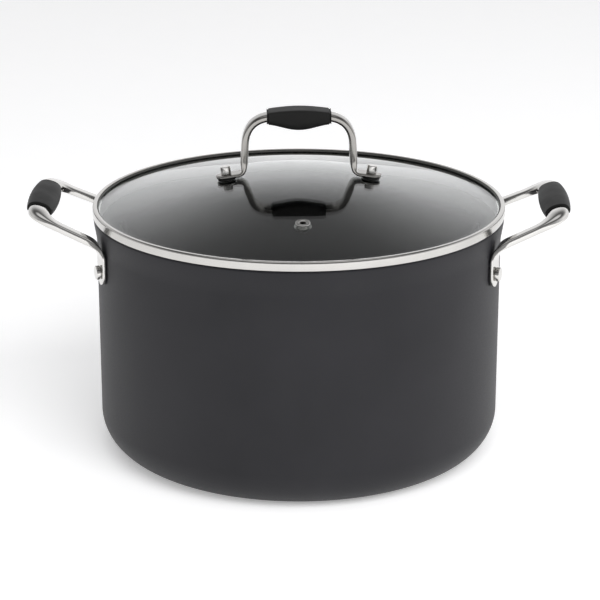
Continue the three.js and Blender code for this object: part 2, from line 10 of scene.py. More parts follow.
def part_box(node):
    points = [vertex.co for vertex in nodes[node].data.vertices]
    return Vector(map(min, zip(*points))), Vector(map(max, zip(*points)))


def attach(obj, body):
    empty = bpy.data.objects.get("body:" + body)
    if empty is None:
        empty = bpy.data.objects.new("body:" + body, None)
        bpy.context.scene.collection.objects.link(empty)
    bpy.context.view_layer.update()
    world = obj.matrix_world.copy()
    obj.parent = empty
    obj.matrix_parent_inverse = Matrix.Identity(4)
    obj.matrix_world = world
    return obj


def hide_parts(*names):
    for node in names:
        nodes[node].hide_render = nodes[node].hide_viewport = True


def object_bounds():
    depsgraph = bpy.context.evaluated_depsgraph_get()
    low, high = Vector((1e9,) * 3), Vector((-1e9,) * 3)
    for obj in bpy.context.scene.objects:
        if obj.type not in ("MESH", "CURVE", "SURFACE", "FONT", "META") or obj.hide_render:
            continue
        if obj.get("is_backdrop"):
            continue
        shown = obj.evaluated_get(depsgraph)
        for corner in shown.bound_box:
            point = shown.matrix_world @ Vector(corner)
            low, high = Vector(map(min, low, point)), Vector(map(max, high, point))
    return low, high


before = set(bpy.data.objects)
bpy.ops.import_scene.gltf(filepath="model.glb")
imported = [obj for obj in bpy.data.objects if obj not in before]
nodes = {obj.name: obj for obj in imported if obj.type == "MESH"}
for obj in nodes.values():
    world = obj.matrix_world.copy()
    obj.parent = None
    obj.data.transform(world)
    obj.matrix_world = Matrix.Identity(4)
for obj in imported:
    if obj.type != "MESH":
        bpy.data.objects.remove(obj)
cad_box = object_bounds()

MM = 0.001
UP = Vector((0, 0, 1))

# ---------------------------------------------------------------- sizes, in metres

GAP = 0.3 * MM  # clearance between neighbours
BORE_GAP = 0.1 * MM  # a sleeve's bore fits its strap this closely
SLACK = 0.1 * MM  # extra length of each fastener
WALL = 3.0 * MM  # pot wall
FLOOR = 4.5 * MM  # pot floor
CORNER_R = 27.5 * MM  # outside of the bottom corner
FLARE = 2.2 * MM  # how far the rim stands out
FLARE_HEIGHT = 19 * MM
SHEET = 0.8 * MM  # lid band's sheet
SKIRT_PLAY = 1.4 * MM  # between the band's skirt and the pot's wall
LIP = 3.2 * MM  # band's lip over the glass
SEAL = 0.7 * MM
SEAL_LAP = 2.2 * MM
GLASS = 3.0 * MM
GLASS_RISE = 21.6 * MM
CROWN_R = 340 * MM  # radius of the glass's round crown
CROWN_SPAN = 62 * MM  # how far out the crown reaches
GLASS_FLAT = 3.6 * MM  # flat margin held by the band

RING = 192  # steps round the pot and the lid
SMALL_RING = 48  # steps round rivets and the vent
SHARP = math.radians(38)  # shading breaks at edges sharper than this
STRAP_SHARP = math.radians(50)
ON_AXIS = 1e-7  # a radius below this is a point on the axis


def centre_of(node):
    low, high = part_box(node)
    return (low + high) / 2


pot_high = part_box("pot_body")[1]
RIM_R = pot_high.x
POT_HEIGHT = pot_high.z
WALL_R = RIM_R - FLARE

band_low, band_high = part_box("lid_rim_band")
BAND_R = band_high.y
SKIRT_Z = band_low.z
BAND_TOP = band_high.z
BAND_Z = POT_HEIGHT + GAP
SKIRT_R = RIM_R - WALL - SKIRT_PLAY

GLASS_EDGE_R = BAND_R - SHEET - SEAL - 2 * GAP
GLASS_UNDER = BAND_Z + SHEET + GAP
GLASS_FLAT_R = GLASS_EDGE_R - GLASS_FLAT
CROWN_Z = GLASS_UNDER + GLASS + GLASS_RISE
CROWN_SLOPE = CROWN_SPAN / math.sqrt(CROWN_R**2 - CROWN_SPAN**2)
CROWN_DROP = CROWN_R - math.sqrt(CROWN_R**2 - CROWN_SPAN**2)
EDGE_SLOPE = 2 * (GLASS_RISE - CROWN_DROP) / (GLASS_FLAT_R - CROWN_SPAN) - CROWN_SLOPE

LID_FRAME = Matrix.Rotation(math.radians(2.6), 4, "Z")  # how the lid sits on the pot


# ---------------------------------------------------------------- shader helpers


class Shader:
    """A material with one Principled shader and short calls for the nodes behind it."""

    def __init__(self, name, **values):
        self.material = bpy.data.materials.new(name)
        self.material.use_nodes = True
        self.nodes = self.material.node_tree.nodes
        self.links = self.material.node_tree.links
        self.principled = self.nodes["Principled BSDF"]
        for socket, value in values.items():
            self.principled.inputs[socket.replace("_", " ")].default_value = value
        self.place = self.nodes.new("ShaderNodeTexCoord").outputs["Object"]

    def stretched(self, scale):
        mapping = self.nodes.new("ShaderNodeMapping")
        mapping.inputs["Scale"].default_value = scale
        self.links.new(self.place, mapping.inputs["Vector"])
        return mapping.outputs["Vector"]

    def noise(self, scale, detail=3.0, roughness=0.5, vector=None):
        noise = self.nodes.new("ShaderNodeTexNoise")
        noise.inputs["Scale"].default_value = scale
        noise.inputs["Detail"].default_value = detail
        noise.inputs["Roughness"].default_value = roughness
        self.links.new(vector or self.place, noise.inputs["Vector"])
        return noise.outputs["Fac"]

    def ramp(self, value, stops):
        ramp = self.nodes.new("ShaderNodeValToRGB")
        elements = ramp.color_ramp.elements
        while len(elements) < len(stops):
            elements.new(0.5)
        for element, (position, color) in zip(elements, stops):
            element.position = position
            element.color = (*color, 1.0)
        self.links.new(value, ramp.inputs["Fac"])
        return ramp.outputs["Color"]

    def scaled(self, value, low, high, from_low=0.3, from_high=0.7):
        scaled = self.nodes.new("ShaderNodeMapRange")
        scaled.inputs["From Min"].default_value = from_low
        scaled.inputs["From Max"].default_value = from_high
        scaled.inputs["To Min"].default_value = low
        scaled.inputs["To Max"].default_value = high
        self.links.new(value, scaled.inputs["Value"])
        return scaled.outputs["Result"]

    def set(self, socket, value):
        self.links.new(value, self.principled.inputs[socket])

    def bump(self, value, strength, distance):
        bump = self.nodes.new("ShaderNodeBump")
        bump.inputs["Strength"].default_value = strength
        bump.inputs["Distance"].default_value = distance
        self.links.new(value, bump.inputs["Height"])
        self.links.new(bump.outputs["Normal"], self.principled.inputs["Normal"])


def anodised_material():
    """Hard-anodised aluminium: dark, matt, with the fine grain of the blasted metal under it."""
    shader = Shader("anodised", Metallic=0.0, Specular_IOR_Level=0.3)
    grain = shader.noise(1500, 2.0, 0.6)
    cloud = shader.noise(14, 3.0, 0.55)
    mixed = shader.nodes.new("ShaderNodeMath")
    mixed.operation = "MULTIPLY_ADD"
    mixed.inputs[1].default_value = 0.35
    shader.links.new(grain, mixed.inputs[0])
    shader.links.new(cloud, mixed.inputs[2])
    dark, light = (0.0125, 0.0125, 0.0148), (0.0185, 0.0182, 0.0212)
    tone = shader.ramp(mixed.outputs["Value"], [(0.42, dark), (0.95, light)])
    shader.set("Base Color", tone)
    shader.set("Roughness", shader.scaled(grain, 0.46, 0.58))
    shader.bump(grain, 0.18, 0.00006)
    return shader.material


def nonstick_material():
    """Non-stick lining: smoother and a little darker than the outside, with a faint spray texture."""
    shader = Shader("nonstick", Metallic=0.0, Specular_IOR_Level=0.5)
    spray = shader.noise(420, 3.0, 0.6)
    dark, light = (0.016, 0.016, 0.017), (0.024, 0.024, 0.025)
    shader.set("Base Color", shader.ramp(spray, [(0.3, dark), (0.7, light)]))
    shader.set("Roughness", shader.scaled(spray, 0.28, 0.4))
    shader.bump(spray, 0.12, 0.0001)
    return shader.material


def steel_material(name, tone, rough_low, rough_high, metal=1.0):
    """Stainless steel with faint, fine scratches and soft patches of wear."""
    shader = Shader(name, Metallic=metal)
    wear = shader.noise(55, 3.0, 0.6)
    scratch = shader.noise(260, 2.0, 0.5, shader.stretched((1.0, 6.0, 9.0)))
    light = tuple(min(1.0, channel * 1.07) for channel in tone)
    shader.set("Base Color", shader.ramp(wear, [(0.3, tone), (0.7, light)]))
    shader.set("Roughness", shader.scaled(wear, rough_low, rough_high))
    shader.bump(scratch, 0.05, 0.00004)
    return shader.material


def silicone_material():
    """Matt moulded silicone: charcoal, with a fine skin texture and a dusty sheen."""
    shader = Shader(
        "silicone",
        Metallic=0.0,
        Specular_IOR_Level=0.24,
        Sheen_Weight=0.04,
        Sheen_Roughness=0.5,
    )
    skin = shader.noise(1700, 2.0, 0.5)
    dust = shader.noise(70, 4.0, 0.6)
    dark, light = (0.0085, 0.0085, 0.0082), (0.013, 0.013, 0.0125)
    shader.set("Base Color", shader.ramp(dust, [(0.3, dark), (0.75, light)]))
    shader.set("Roughness", shader.scaled(dust, 0.5, 0.64))
    shader.bump(skin, 0.16, 0.00006)
    return shader.material


def glass_material():
    """Clear tempered glass with the slight green-grey of thick float glass."""
    shader = Shader(
        "tempered_glass",
        Base_Color=(0.93, 0.955, 0.95, 1.0),
        Transmission_Weight=1.0,
        IOR=1.5,
        Metallic=0.0,
    )
    smear = shader.noise(18, 3.0, 0.5)
    shader.set("Roughness", shader.scaled(smear, 0.0, 0.012, 0.35, 0.8))
    return shader.material


def seal_material():
    """Dark grey bedding ring between the glass and the band."""
    shader = Shader("bedding_seal", Metallic=0.0, Specular_IOR_Level=0.4)
    skin = shader.noise(900, 2.0, 0.5)
    dark, light = (0.055, 0.055, 0.052), (0.075, 0.075, 0.07)
    shader.set("Base Color", shader.ramp(skin, [(0.3, dark), (0.7, light)]))
    shader.set("Roughness", shader.scaled(skin, 0.4, 0.55))
    shader.bump(skin, 0.1, 0.00005)
    return shader.material


ANODISED = anodised_material()
NONSTICK = nonstick_material()
STEEL = steel_material("polished_steel", (0.64, 0.63, 0.61), 0.09, 0.15)
# Painted shade: the lid's strap is the same polished steel, darkened here to stand in for its dimmer
# reflections.
LID_STEEL_PAINTED_SHADE = steel_material("lid_strap_steel_painted_shade", (0.32, 0.31, 0.295), 0.08, 0.14)
# Painted shade: the band is the same polished steel, darkened here to stand in for its dimmer reflections.
BAND_STEEL_PAINTED_SHADE = steel_material("band_steel_painted_shade", (0.56, 0.55, 0.53), 0.13, 0.2)
# Rougher satin finish for the skirt's inner side; its brighter, part-diffuse tone is painted light standing
# in for light falling through the glass.
SATIN_STEEL_PAINTED_LIGHT = steel_material("satin_steel_painted_light", (0.78, 0.775, 0.76), 0.42, 0.5, metal=0.35)
SILICONE = silicone_material()
TEMPERED_GLASS = glass_material()
SEAL_RUBBER = seal_material()


# ---------------------------------------------------------------- mesh helpers


def add_piece(name, points, faces, materials, slots=None, sharp=SHARP):
    """A closed mesh with smooth shading that breaks only at sharp edges."""
    mesh = bpy.data.meshes.new(name)
    mesh.from_pydata([tuple(point) for point in points], [], faces)
    for material in materials:
        mesh.materials.append(material)
    if slots:
        mesh.polygons.foreach_set("material_index", slots)
    work = bmesh.new()
    work.from_mesh(mesh)
    bmesh.ops.recalc_face_normals(work, faces=work.faces)
    work.to_mesh(mesh)
    work.free()
    mesh.polygons.foreach_set("use_smooth", [True] * len(mesh.polygons))
    mesh.set_sharp_from_angle(angle=sharp)
    piece = bpy.data.objects.new(name, mesh)
    bpy.context.scene.collection.objects.link(piece)
    return piece


def settle(piece, body, node):
    """Puts a piece on its body, in place of its CAD node."""
    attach(piece, body)
    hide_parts(node)


def arc(centre_r, centre_z, radius, start, end, steps):
    """Points of an arc in a turned profile; angles in degrees."""
    angles = [math.radians(start + (end - start) * i / steps) for i in range(steps + 1)]
    return [(centre_r + radius * math.cos(a), centre_z + radius * math.sin(a)) for a in angles]


def turned(name, profile, materials, steps=RING, matrix=None, slot_of=None, closed=False):
    """A turned piece from (radius, height) points, from axis to axis, or closed on itself."""
    points, rows = [], []
    for radius, height in profile:
        if radius < ON_AXIS:
            rows.append([len(points)])
            points.append(Vector((0, 0, height)))
            continue
        rows.append(list(range(len(points), len(points) + steps)))
        for i in range(steps):
            angle = 2 * math.pi * i / steps
            points.append(Vector((radius * math.cos(angle), radius * math.sin(angle), height)))
    faces, slots = [], []
    pairs = list(zip(rows, rows[1:])) + ([(rows[-1], rows[0])] if closed else [])
    for index, (low, high) in enumerate(pairs):
        for i in range(steps):
            j = (i + 1) % steps
            face = [low[i % len(low)], low[j % len(low)], high[j % len(high)], high[i % len(high)]]
            faces.append(list(dict.fromkeys(face)))
            slots.append(slot_of(index) if slot_of else 0)
    if matrix is not None:
        points = [matrix @ point for point in points]
    return add_piece(name, points, faces, materials, slots)


def along(point, direction):
    """A matrix that puts a piece turned about Z at a point, with its axis along a direction."""
    turn = UP.rotation_difference(direction.normalized()).to_matrix().to_4x4()
    return Matrix.Translation(point) @ turn


def mix(a, b, weight):
    return a + (b - a) * weight


def smoothstep(low, high, value):
    t = min(1.0, max(0.0, (value - low) / (high - low)))
    return t * t * (3 - 2 * t)


class Path:
    """A polyline with rounded corners, walked by its share of the whole length."""

    def __init__(self, corners, setbacks, fineness=40):
        self.points = [corners[0]]
        for i in range(1, len(corners) - 1):
            before = (corners[i] - corners[i - 1]).normalized() * setbacks[i]
            after = (corners[i + 1] - corners[i]).normalized() * setbacks[i]
            start, end = corners[i] - before, corners[i] + after
            for k in range(fineness + 1):
                t = k / fineness
                self.points.append(start * (1 - t) ** 2 + corners[i] * 2 * t * (1 - t) + end * t**2)
        self.points.append(corners[-1])
        self.lengths = [0.0]
        for a, b in zip(self.points, self.points[1:]):
            self.lengths.append(self.lengths[-1] + (b - a).length)
        self.total = self.lengths[-1]

    def at(self, share):
        distance = min(max(share, 0.0), 1.0) * self.total
        i = 0
        while i < len(self.lengths) - 2 and self.lengths[i + 1] < distance:
            i += 1
        span = self.lengths[i + 1] - self.lengths[i]
        weight = (distance - self.lengths[i]) / span if span else 0.0
        return self.points[i].lerp(self.points[i + 1], weight)

    def tangent(self, share):
        reach = 0.4 * MM / self.total
        return (self.at(share + reach) - self.at(share - reach)).normalized()


def section(width, up, down, rounding, sides):
    """Outline of a strap or sleeve: a rectangle with its upper and lower sides rounded."""
    outline = []
    for i in range(sides):
        angle = 2 * math.pi * (i + 0.5) / sides
        c, s = math.cos(angle), math.sin(angle)
        power = rounding[0] if s > 0 else rounding[1]
        x = math.copysign(abs(c) ** power, c) * width / 2
        y = math.copysign(abs(s) ** power, s) * (up if s > 0 else down)
        outline.append((x, y))
    return outline


def ring_at(path, share, outline, up_hint):
    centre, tangent = path.at(share), path.tangent(share)
    across = tangent.cross(up_hint).normalized()
    up = across.cross(tangent).normalized()
    return [centre + across * x + up * y for x, y in outline]


def skin(rings, closed=False):
    """Points and faces of a tube through rings; flat ends unless it closes on itself."""
    sides = len(rings[0])
    points = [point for ring in rings for point in ring]
    faces = []
    last = len(rings) if closed else len(rings) - 1
    for i in range(last):
        a, b = i * sides, ((i + 1) % len(rings)) * sides
        for j in range(sides):
            k = (j + 1) % sides
            faces.append([a + j, a + k, b + k, b + j])
    if not closed:
        faces.append(list(range(sides)))
        faces.append(list(range(len(points) - sides, len(points))))
    return points, faces


# ---------------------------------------------------------------- pot


def wall_radius(z):
    return WALL_R + FLARE * smoothstep(0, 1, (z - (POT_HEIGHT - FLARE_HEIGHT)) / FLARE_HEIGHT)


def pot():
    floor_r = WALL_R - CORNER_R
    inner_r = CORNER_R - WALL
    recess = 0.35 * MM
    lip = WALL / 2
    flare = [POT_HEIGHT - FLARE_HEIGHT + (FLARE_HEIGHT - lip) * i / 12 for i in range(13)]
    base = [(0, recess), (floor_r * 0.42, recess)]
    for share in (0.56, 0.7, 0.84):  # shallow turned rings under the base
        base += arc(floor_r * share, recess, 1.1 * MM, 180, 0, 6)
    base += [(floor_r - 4 * MM, recess), (floor_r - 3.4 * MM, 0.05 * MM), (floor_r - 3 * MM, 0)]
    outside = arc(floor_r, CORNER_R, CORNER_R, -90, 0, 24)
    outside += [(WALL_R, POT_HEIGHT * share) for share in (0.4, 0.7)]
    outside += [(wall_radius(z), z) for z in flare]
    rim = arc(RIM_R - lip, POT_HEIGHT - lip, lip, 20, 160, 7)
    inside = [(wall_radius(z) - WALL, z) for z in reversed(flare)]
    inside += arc(floor_r, FLOOR + inner_r, inner_r, 0, -90, 20) + [(0, FLOOR)]
    profile = base + outside + rim + inside
    lining_from = len(base) + len(outside) + len(rim) - 2

    def slot_of(index):
        return int(index > lining_from)

    piece = turned("pot_shell", profile, [ANODISED, NONSTICK], slot_of=slot_of)
    settle(piece, "pot", "pot_body")


pot()

# ---------------------------------------------------------------- side handles

LUG_WIDTH, LUG_THICKNESS = 15.5 * MM, 2.6 * MM
LEG_WIDTH, LEG_THICKNESS = 9.6 * MM, 5.2 * MM
STRAP_WIDTH, STRAP_UP, STRAP_DOWN = 14.6 * MM, 4.8 * MM, 2.4 * MM
LUG_ANGLE = math.radians(20.2)
BEND_Z = POT_HEIGHT - 13 * MM
CORNER_Y = 43.5 * MM
LEG_SLOPE, GRIP_SLOPE = math.radians(24), math.radians(17)
BEND_SETBACK, CORNER_SETBACK = 9 * MM, 14 * MM
LUG_ROUNDING, STRAP_ROUNDING, DOMED_ROUNDING = 0.25, 0.45, 0.85

RIVET_Z = centre_of("side_rivet_right_rear").z
LUG_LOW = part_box("side_handle_right")[0].z
STRAP_R = WALL_R + GAP + LUG_THICKNESS / 2
GRIP_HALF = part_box("side_grip_right")[1].y
GRIP_X = WALL_R + 37.0 * MM
GRIP_Z = POT_HEIGHT + 6.4 * MM
HALF_TURN = Matrix.Rotation(math.pi, 4, "Z")

lug_directions = [Vector((math.cos(a), math.sin(a), 0)) for a in (-LUG_ANGLE, LUG_ANGLE)]


def lug_point(direction, z):
    return Vector((direction.x * STRAP_R, direction.y * STRAP_R, z))


side_path = Path(
    [
        lug_point(lug_directions[0], LUG_LOW),
        lug_point(lug_directions[0], BEND_Z),
        Vector((GRIP_X, -CORNER_Y, GRIP_Z)),
        Vector((GRIP_X, CORNER_Y, GRIP_Z)),
        lug_point(lug_directions[1], BEND_Z),
        lug_point(lug_directions[1], LUG_LOW),
    ],
    [0, BEND_SETBACK, CORNER_SETBACK, CORNER_SETBACK, BEND_SETBACK, 0],
)

lug_length = BEND_Z - LUG_LOW
leg_length = (side_path.total - 2 * CORNER_Y) / 2


def side_weights(share):
    """How far a point of the loop has turned from lug to leg, and from leg to grip."""
    distance = min(share, 1 - share) * side_path.total
    leg = smoothstep(lug_length - BEND_SETBACK, lug_length + BEND_SETBACK, distance)
    grip = smoothstep(leg_length - CORNER_SETBACK, leg_length + CORNER_SETBACK / 2, distance)
    return distance, leg, grip


def side_outline(share, grow=0.0, sides=32):
    distance, leg, grip = side_weights(share)
    width = mix(mix(LUG_WIDTH, LEG_WIDTH, leg), STRAP_WIDTH, grip)
    thickness = mix(LUG_THICKNESS, LEG_THICKNESS, leg)
    up = mix(LUG_THICKNESS, LEG_THICKNESS, leg**2) / 2
    end_r = LUG_WIDTH / 2
    if distance < end_r:  # the lug's round end
        width *= math.sqrt(max(0.0, 1 - (1 - distance / end_r) ** 2))
    up_side = mix(up, STRAP_UP, grip) + grow
    down_side = mix(thickness - up, STRAP_DOWN, grip) + grow
    flat = mix(LUG_ROUNDING, STRAP_ROUNDING, leg)
    rounding = (mix(flat, DOMED_ROUNDING, grip), flat)
    return section(width + 2 * grow, up_side, down_side, rounding, sides)


def side_up(share):
    _, leg, grip = side_weights(share)
    slope = mix(LEG_SLOPE, GRIP_SLOPE, grip)
    tilted = Vector((-math.sin(slope), 0, math.cos(slope)))
    inward = -(lug_directions[0] if share < 0.5 else lug_directions[1])
    return inward.lerp(tilted, leg).normalized()


def strap_shares(end, count, steps=10, first=0.35):
    """Stations along a strap: dense round its two ends, then even."""
    start = [end * (1 - math.cos(math.pi / 2 * max(i, first) / steps)) for i in range(steps)]
    middle = [end + (1 - 2 * end) * i / count for i in range(count + 1)]
    return start + middle + [1 - share for share in reversed(start)]


def side_strap(name, turn):
    shares = strap_shares(LUG_WIDTH / 2 / side_path.total, 170)
    rings = [ring_at(side_path, share, side_outline(share), side_up(share)) for share in shares]
    points, faces = skin(rings)
    return add_piece(name, [turn @ point for point in points], faces, [STEEL], sharp=STRAP_SHARP)


def sleeve(name, path, half_share, outline_at, bore_at, up_at, material, turn, steps=40):
    """A moulded sleeve: an outer skin with rounded ends, bored along the strap it holds."""
    edge = 0.9 * MM
    round_share = edge / path.total
    outer, inner = [], []
    shares = [0.5 - half_share + 2 * half_share * i / steps for i in range(steps + 1)]
    ends = 6
    for k in range(ends):  # rounded edge at the first end
        angle = math.pi / 2 * (k + 0.5) / ends
        share = 0.5 - half_share + round_share * (1 - math.sin(angle))
        shrink = edge * (1 - math.cos(math.pi / 2 - angle))
        outer.append((share, shrink))
    outer = sorted(outer)
    start = outer + [(share, 0.0) for share in shares if outer[-1][0] < share <= 0.5]
    whole = start + [(1 - share, shrink) for share, shrink in reversed(start) if share < 0.5]
    rings = [ring_at(path, share, outline_at(share, shrink), up_at(share)) for share, shrink in whole]
    for share, _ in reversed(whole):
        inner.append(ring_at(path, share, bore_at(share), up_at(share)))
    points, faces = skin(rings + inner, closed=True)
    return add_piece(name, [turn @ point for point in points], faces, [material])


SIDE_GRIP_SIDES, LID_GRIP_SIDES = 40, 56
SIDE_GRIP = {"end": (16.8 * MM, 5.8 * MM, 3.5 * MM), "middle": (20.8 * MM, 6.9 * MM, 6.2 * MM)}


def side_sleeve_outline(share, shrink):
    along_grip = abs(share - 0.5) * side_path.total / GRIP_HALF
    bulge = max(0.0, math.cos(math.pi / 2 * min(1.0, along_grip))) ** 0.8
    ends = zip(SIDE_GRIP["end"], SIDE_GRIP["middle"])
    width, up, down = (mix(end, middle, bulge) for end, middle in ends)
    return section(width - 2 * shrink, up - shrink, down - shrink, (0.85, 0.85), SIDE_GRIP_SIDES)


def small_rivet(name, matrix, shank_r, head, tail, stack, lined=STEEL):
    """A fastener turned about Z: head and tail are (radius, height), the stack starts at z = 0,
    and lined is the material of its tail."""
    head_r, head_height = head
    tail_r, tail_height = tail
    edge = 0.5 * MM
    top = stack + GAP + head_height
    profile = [(0, -GAP - tail_height)]
    profile += arc(tail_r - tail_height * 0.8, -GAP - tail_height * 0.2, tail_height * 0.8, -90, 0, 6)
    profile += [(tail_r, -GAP), (shank_r, -GAP), (shank_r, stack + GAP)]
    profile += [(head_r - 0.15 * MM, stack + GAP), (head_r, stack + GAP + 0.15 * MM)]
    profile += arc(head_r - edge, top - edge, edge, 0, 90, 5)
    profile += [(head_r * 0.5, top - 0.02 * MM), (0, top - 0.04 * MM)]
    tail_faces = 7  # from the axis round the tail's edge

    def slot_of(index):
        return int(index < tail_faces)

    return turned(name, profile, [STEEL, lined], slot_of=slot_of, steps=SMALL_RING, matrix=matrix)


SIDE_RIVET = (3.2 * MM, (4.9 * MM, 2.8 * MM), (6.2 * MM, 2.4 * MM))  # shank, head, tail


def side_handles():
    half_share = GRIP_HALF / side_path.total
    for side, turn in (("right", Matrix.Identity(4)), ("left", HALF_TURN)):
        strap = side_strap(f"side_strap_{side}", turn)
        settle(strap, "pot", f"side_handle_{side}")
        grip = sleeve(
            f"side_sleeve_{side}",
            side_path,
            half_share,
            side_sleeve_outline,
            lambda share: side_outline(share, BORE_GAP, SIDE_GRIP_SIDES),
            side_up,
            SILICONE,
            turn,
        )
        settle(grip, "pot", f"side_grip_{side}")
        for index, direction in enumerate(lug_directions):
            end = "front" if (index == 0) == (side == "right") else "rear"
            inner = direction * (WALL_R - WALL)
            place = turn @ along(Vector((inner.x, inner.y, RIVET_Z)), direction)
            stack = WALL + GAP + LUG_THICKNESS + SLACK
            name = f"rivet_{side}_{end}"
            rivet = small_rivet(name, place, *SIDE_RIVET, stack, lined=NONSTICK)
            settle(rivet, "pot", f"side_rivet_{side}_{end}")


side_handles()

# ---------------------------------------------------------------- lid


def dome_slope(radius):
    if radius <= CROWN_SPAN:
        return radius / math.sqrt(CROWN_R**2 - radius**2)
    return mix(CROWN_SLOPE, EDGE_SLOPE, (radius - CROWN_SPAN) / (GLASS_FLAT_R - CROWN_SPAN))


def dome(radius):
    """Height of the glass's upper surface: a round crown, then an even change to the edge."""
    if radius <= CROWN_SPAN:
        return CROWN_Z - CROWN_R + math.sqrt(CROWN_R**2 - radius**2)
    mean_slope = (CROWN_SLOPE + dome_slope(radius)) / 2
    return CROWN_Z - CROWN_DROP - mean_slope * (radius - CROWN_SPAN)


def dome_normal(x, y):
    radius = math.hypot(x, y)
    slope = dome_slope(radius)
    return Vector((slope * x / radius, slope * y / radius, 1)).normalized()


RIVET_X = 50 * MM
VENT_Y = 88 * MM
FOOT_THICKNESS = 2.4 * MM
WASHER_THICKNESS = 0.8 * MM
FOOT_LIFT = GAP + WASHER_THICKNESS + GAP + FOOT_THICKNESS / 2
HOLE_R = 2.4 * MM + GAP


def on_dome(x, y):
    return LID_FRAME @ along(Vector((x, y, dome(math.hypot(x, y)))), dome_normal(x, y))


def cut_holes(piece, places, radius):
    """Cuts round holes through a piece with applied boolean modifiers."""
    reach = 3 * GLASS
    cutters = []
    for index, place in enumerate(places):
        profile = [(0, -reach), (radius, -reach), (radius, reach), (0, reach)]
        material = piece.data.materials[0]
        cutter = turned(f"cutter_{index}", profile, [material], steps=SMALL_RING, matrix=place)
        modifier = piece.modifiers.new("hole", "BOOLEAN")
        modifier.operation = "DIFFERENCE"
        modifier.solver = "EXACT"
        modifier.object = cutter
        cutters.append(cutter)
    evaluated = piece.evaluated_get(bpy.context.evaluated_depsgraph_get())
    cut = bpy.data.meshes.new_from_object(evaluated)
    piece.modifiers.clear()
    piece.data = cut
    for cutter in cutters:
        bpy.data.objects.remove(cutter)


def glass():
    steps = 30
    radii = [GLASS_FLAT_R * i / steps for i in range(steps + 1)]
    edge = 0.9 * MM
    under = [(r, dome(r) - GLASS) for r in radii]
    upper = [(r, dome(r)) for r in reversed(radii)]
    rim = [(GLASS_EDGE_R - edge, GLASS_UNDER)]
    rim += arc(GLASS_EDGE_R - edge, GLASS_UNDER + edge, edge, -60, 0, 4)
    rim += arc(GLASS_EDGE_R - edge, GLASS_UNDER + GLASS - edge, edge, 0, 60, 4)
    rim += [(GLASS_EDGE_R - edge, GLASS_UNDER + GLASS)]
    piece = turned("lid_dome", under + rim + upper, [TEMPERED_GLASS])
    cut_holes(piece, [on_dome(RIVET_X, 0), on_dome(-RIVET_X, 0), on_dome(0, -VENT_Y)], HOLE_R)
    piece.data.set_sharp_from_angle(angle=SHARP)
    settle(piece, "lid", "lid_glass")


def rim_band():
    roll = 1.4 * MM
    fold = 0.5 * MM
    lip_r = BAND_R - LIP
    hem = 0.55 * MM  # the skirt's bottom edge is rolled into a bead on its inner side
    profile = arc(SKIRT_R - hem, SKIRT_Z + hem, hem, 150, 360, 12)
    hem_faces = len(profile) - 1
    profile.append((SKIRT_R, BAND_Z))
    profile += arc(BAND_R - fold, BAND_Z + fold, fold, -90, 0, 5)
    profile += arc(BAND_R - roll, BAND_TOP - roll, roll, 0, 90, 9)
    profile += arc(lip_r + SHEET / 2, BAND_TOP - SHEET / 2, SHEET / 2, 90, 270, 7)
    profile += [
        (BAND_R - SHEET - 0.4 * MM, BAND_TOP - SHEET),
        (BAND_R - SHEET, BAND_TOP - SHEET - 0.4 * MM),
        (BAND_R - SHEET, BAND_Z + SHEET),
        (SKIRT_R - SHEET, BAND_Z + SHEET),
    ]
    # The skirt's inner side and its hem get the brighter satin steel: painted light for light falling
    # through the glass.
    inside = len(profile) - 1  # the last face is the skirt's inner side

    def slot_of(index):
        return int(index == inside or index < hem_faces)

    # The band's outside wears the darkened copy of the steel: painted shade.
    piece = turned("lid_band", profile, [BAND_STEEL_PAINTED_SHADE, SATIN_STEEL_PAINTED_LIGHT], slot_of=slot_of, closed=True)
    settle(piece, "lid", "lid_rim_band")


def rim_seal():
    outer = BAND_R - SHEET - 0.1 * MM
    inner = GLASS_EDGE_R - SEAL_LAP
    above = GLASS_UNDER + GLASS + 0.05 * MM
    top = BAND_TOP - SHEET - 0.05 * MM
    bead = (top - above) / 2
    profile = [(GLASS_EDGE_R + GAP, GLASS_UNDER), (outer, GLASS_UNDER)]
    profile += [(outer, top - 0.6 * MM), (outer - 0.6 * MM, top)]
    profile += arc(inner + bead, above + bead, bead, 90, 270, 8)
    profile += [(GLASS_EDGE_R + GAP, above)]
    piece = turned("lid_seal", profile, [SEAL_RUBBER], closed=True)
    settle(piece, "lid", "lid_rim_seal")


# ---------------------------------------------------------------- lid handle

LEG_X = RIVET_X - 12.1 * MM
TOP_Z = CROWN_Z + 40.3 * MM
LEAN = 1.5 * MM  # how far each leg leans in
ARCH = 1.2 * MM
FOOT_R = 7.2 * MM
FOOT_SETBACK, SHOULDER_SETBACK, CROWN_SETBACK = 4 * MM, 19 * MM, 10 * MM
LID_LEG_WIDTH, LID_LEG_THICKNESS = 12.5 * MM, 5.2 * MM
LID_TOP_WIDTH, LID_TOP_THICKNESS = 13.0 * MM, 5.4 * MM


def foot(side, out):
    normal = dome_normal(side * RIVET_X, 0)
    slope = Vector((normal.z, 0, -normal.x)) * side * out
    return Vector((side * RIVET_X, 0, dome(RIVET_X))) + normal * FOOT_LIFT + slope


lid_path = Path(
    [
        foot(-1, FOOT_R),
        foot(-1, LEG_X - RIVET_X),
        Vector((-LEG_X + LEAN, 0, TOP_Z)),
        Vector((0, 0, TOP_Z + ARCH)),
        Vector((LEG_X - LEAN, 0, TOP_Z)),
        foot(1, LEG_X - RIVET_X),
        foot(1, FOOT_R),
    ],
    [0, FOOT_SETBACK, SHOULDER_SETBACK, CROWN_SETBACK, SHOULDER_SETBACK, FOOT_SETBACK, 0],
)


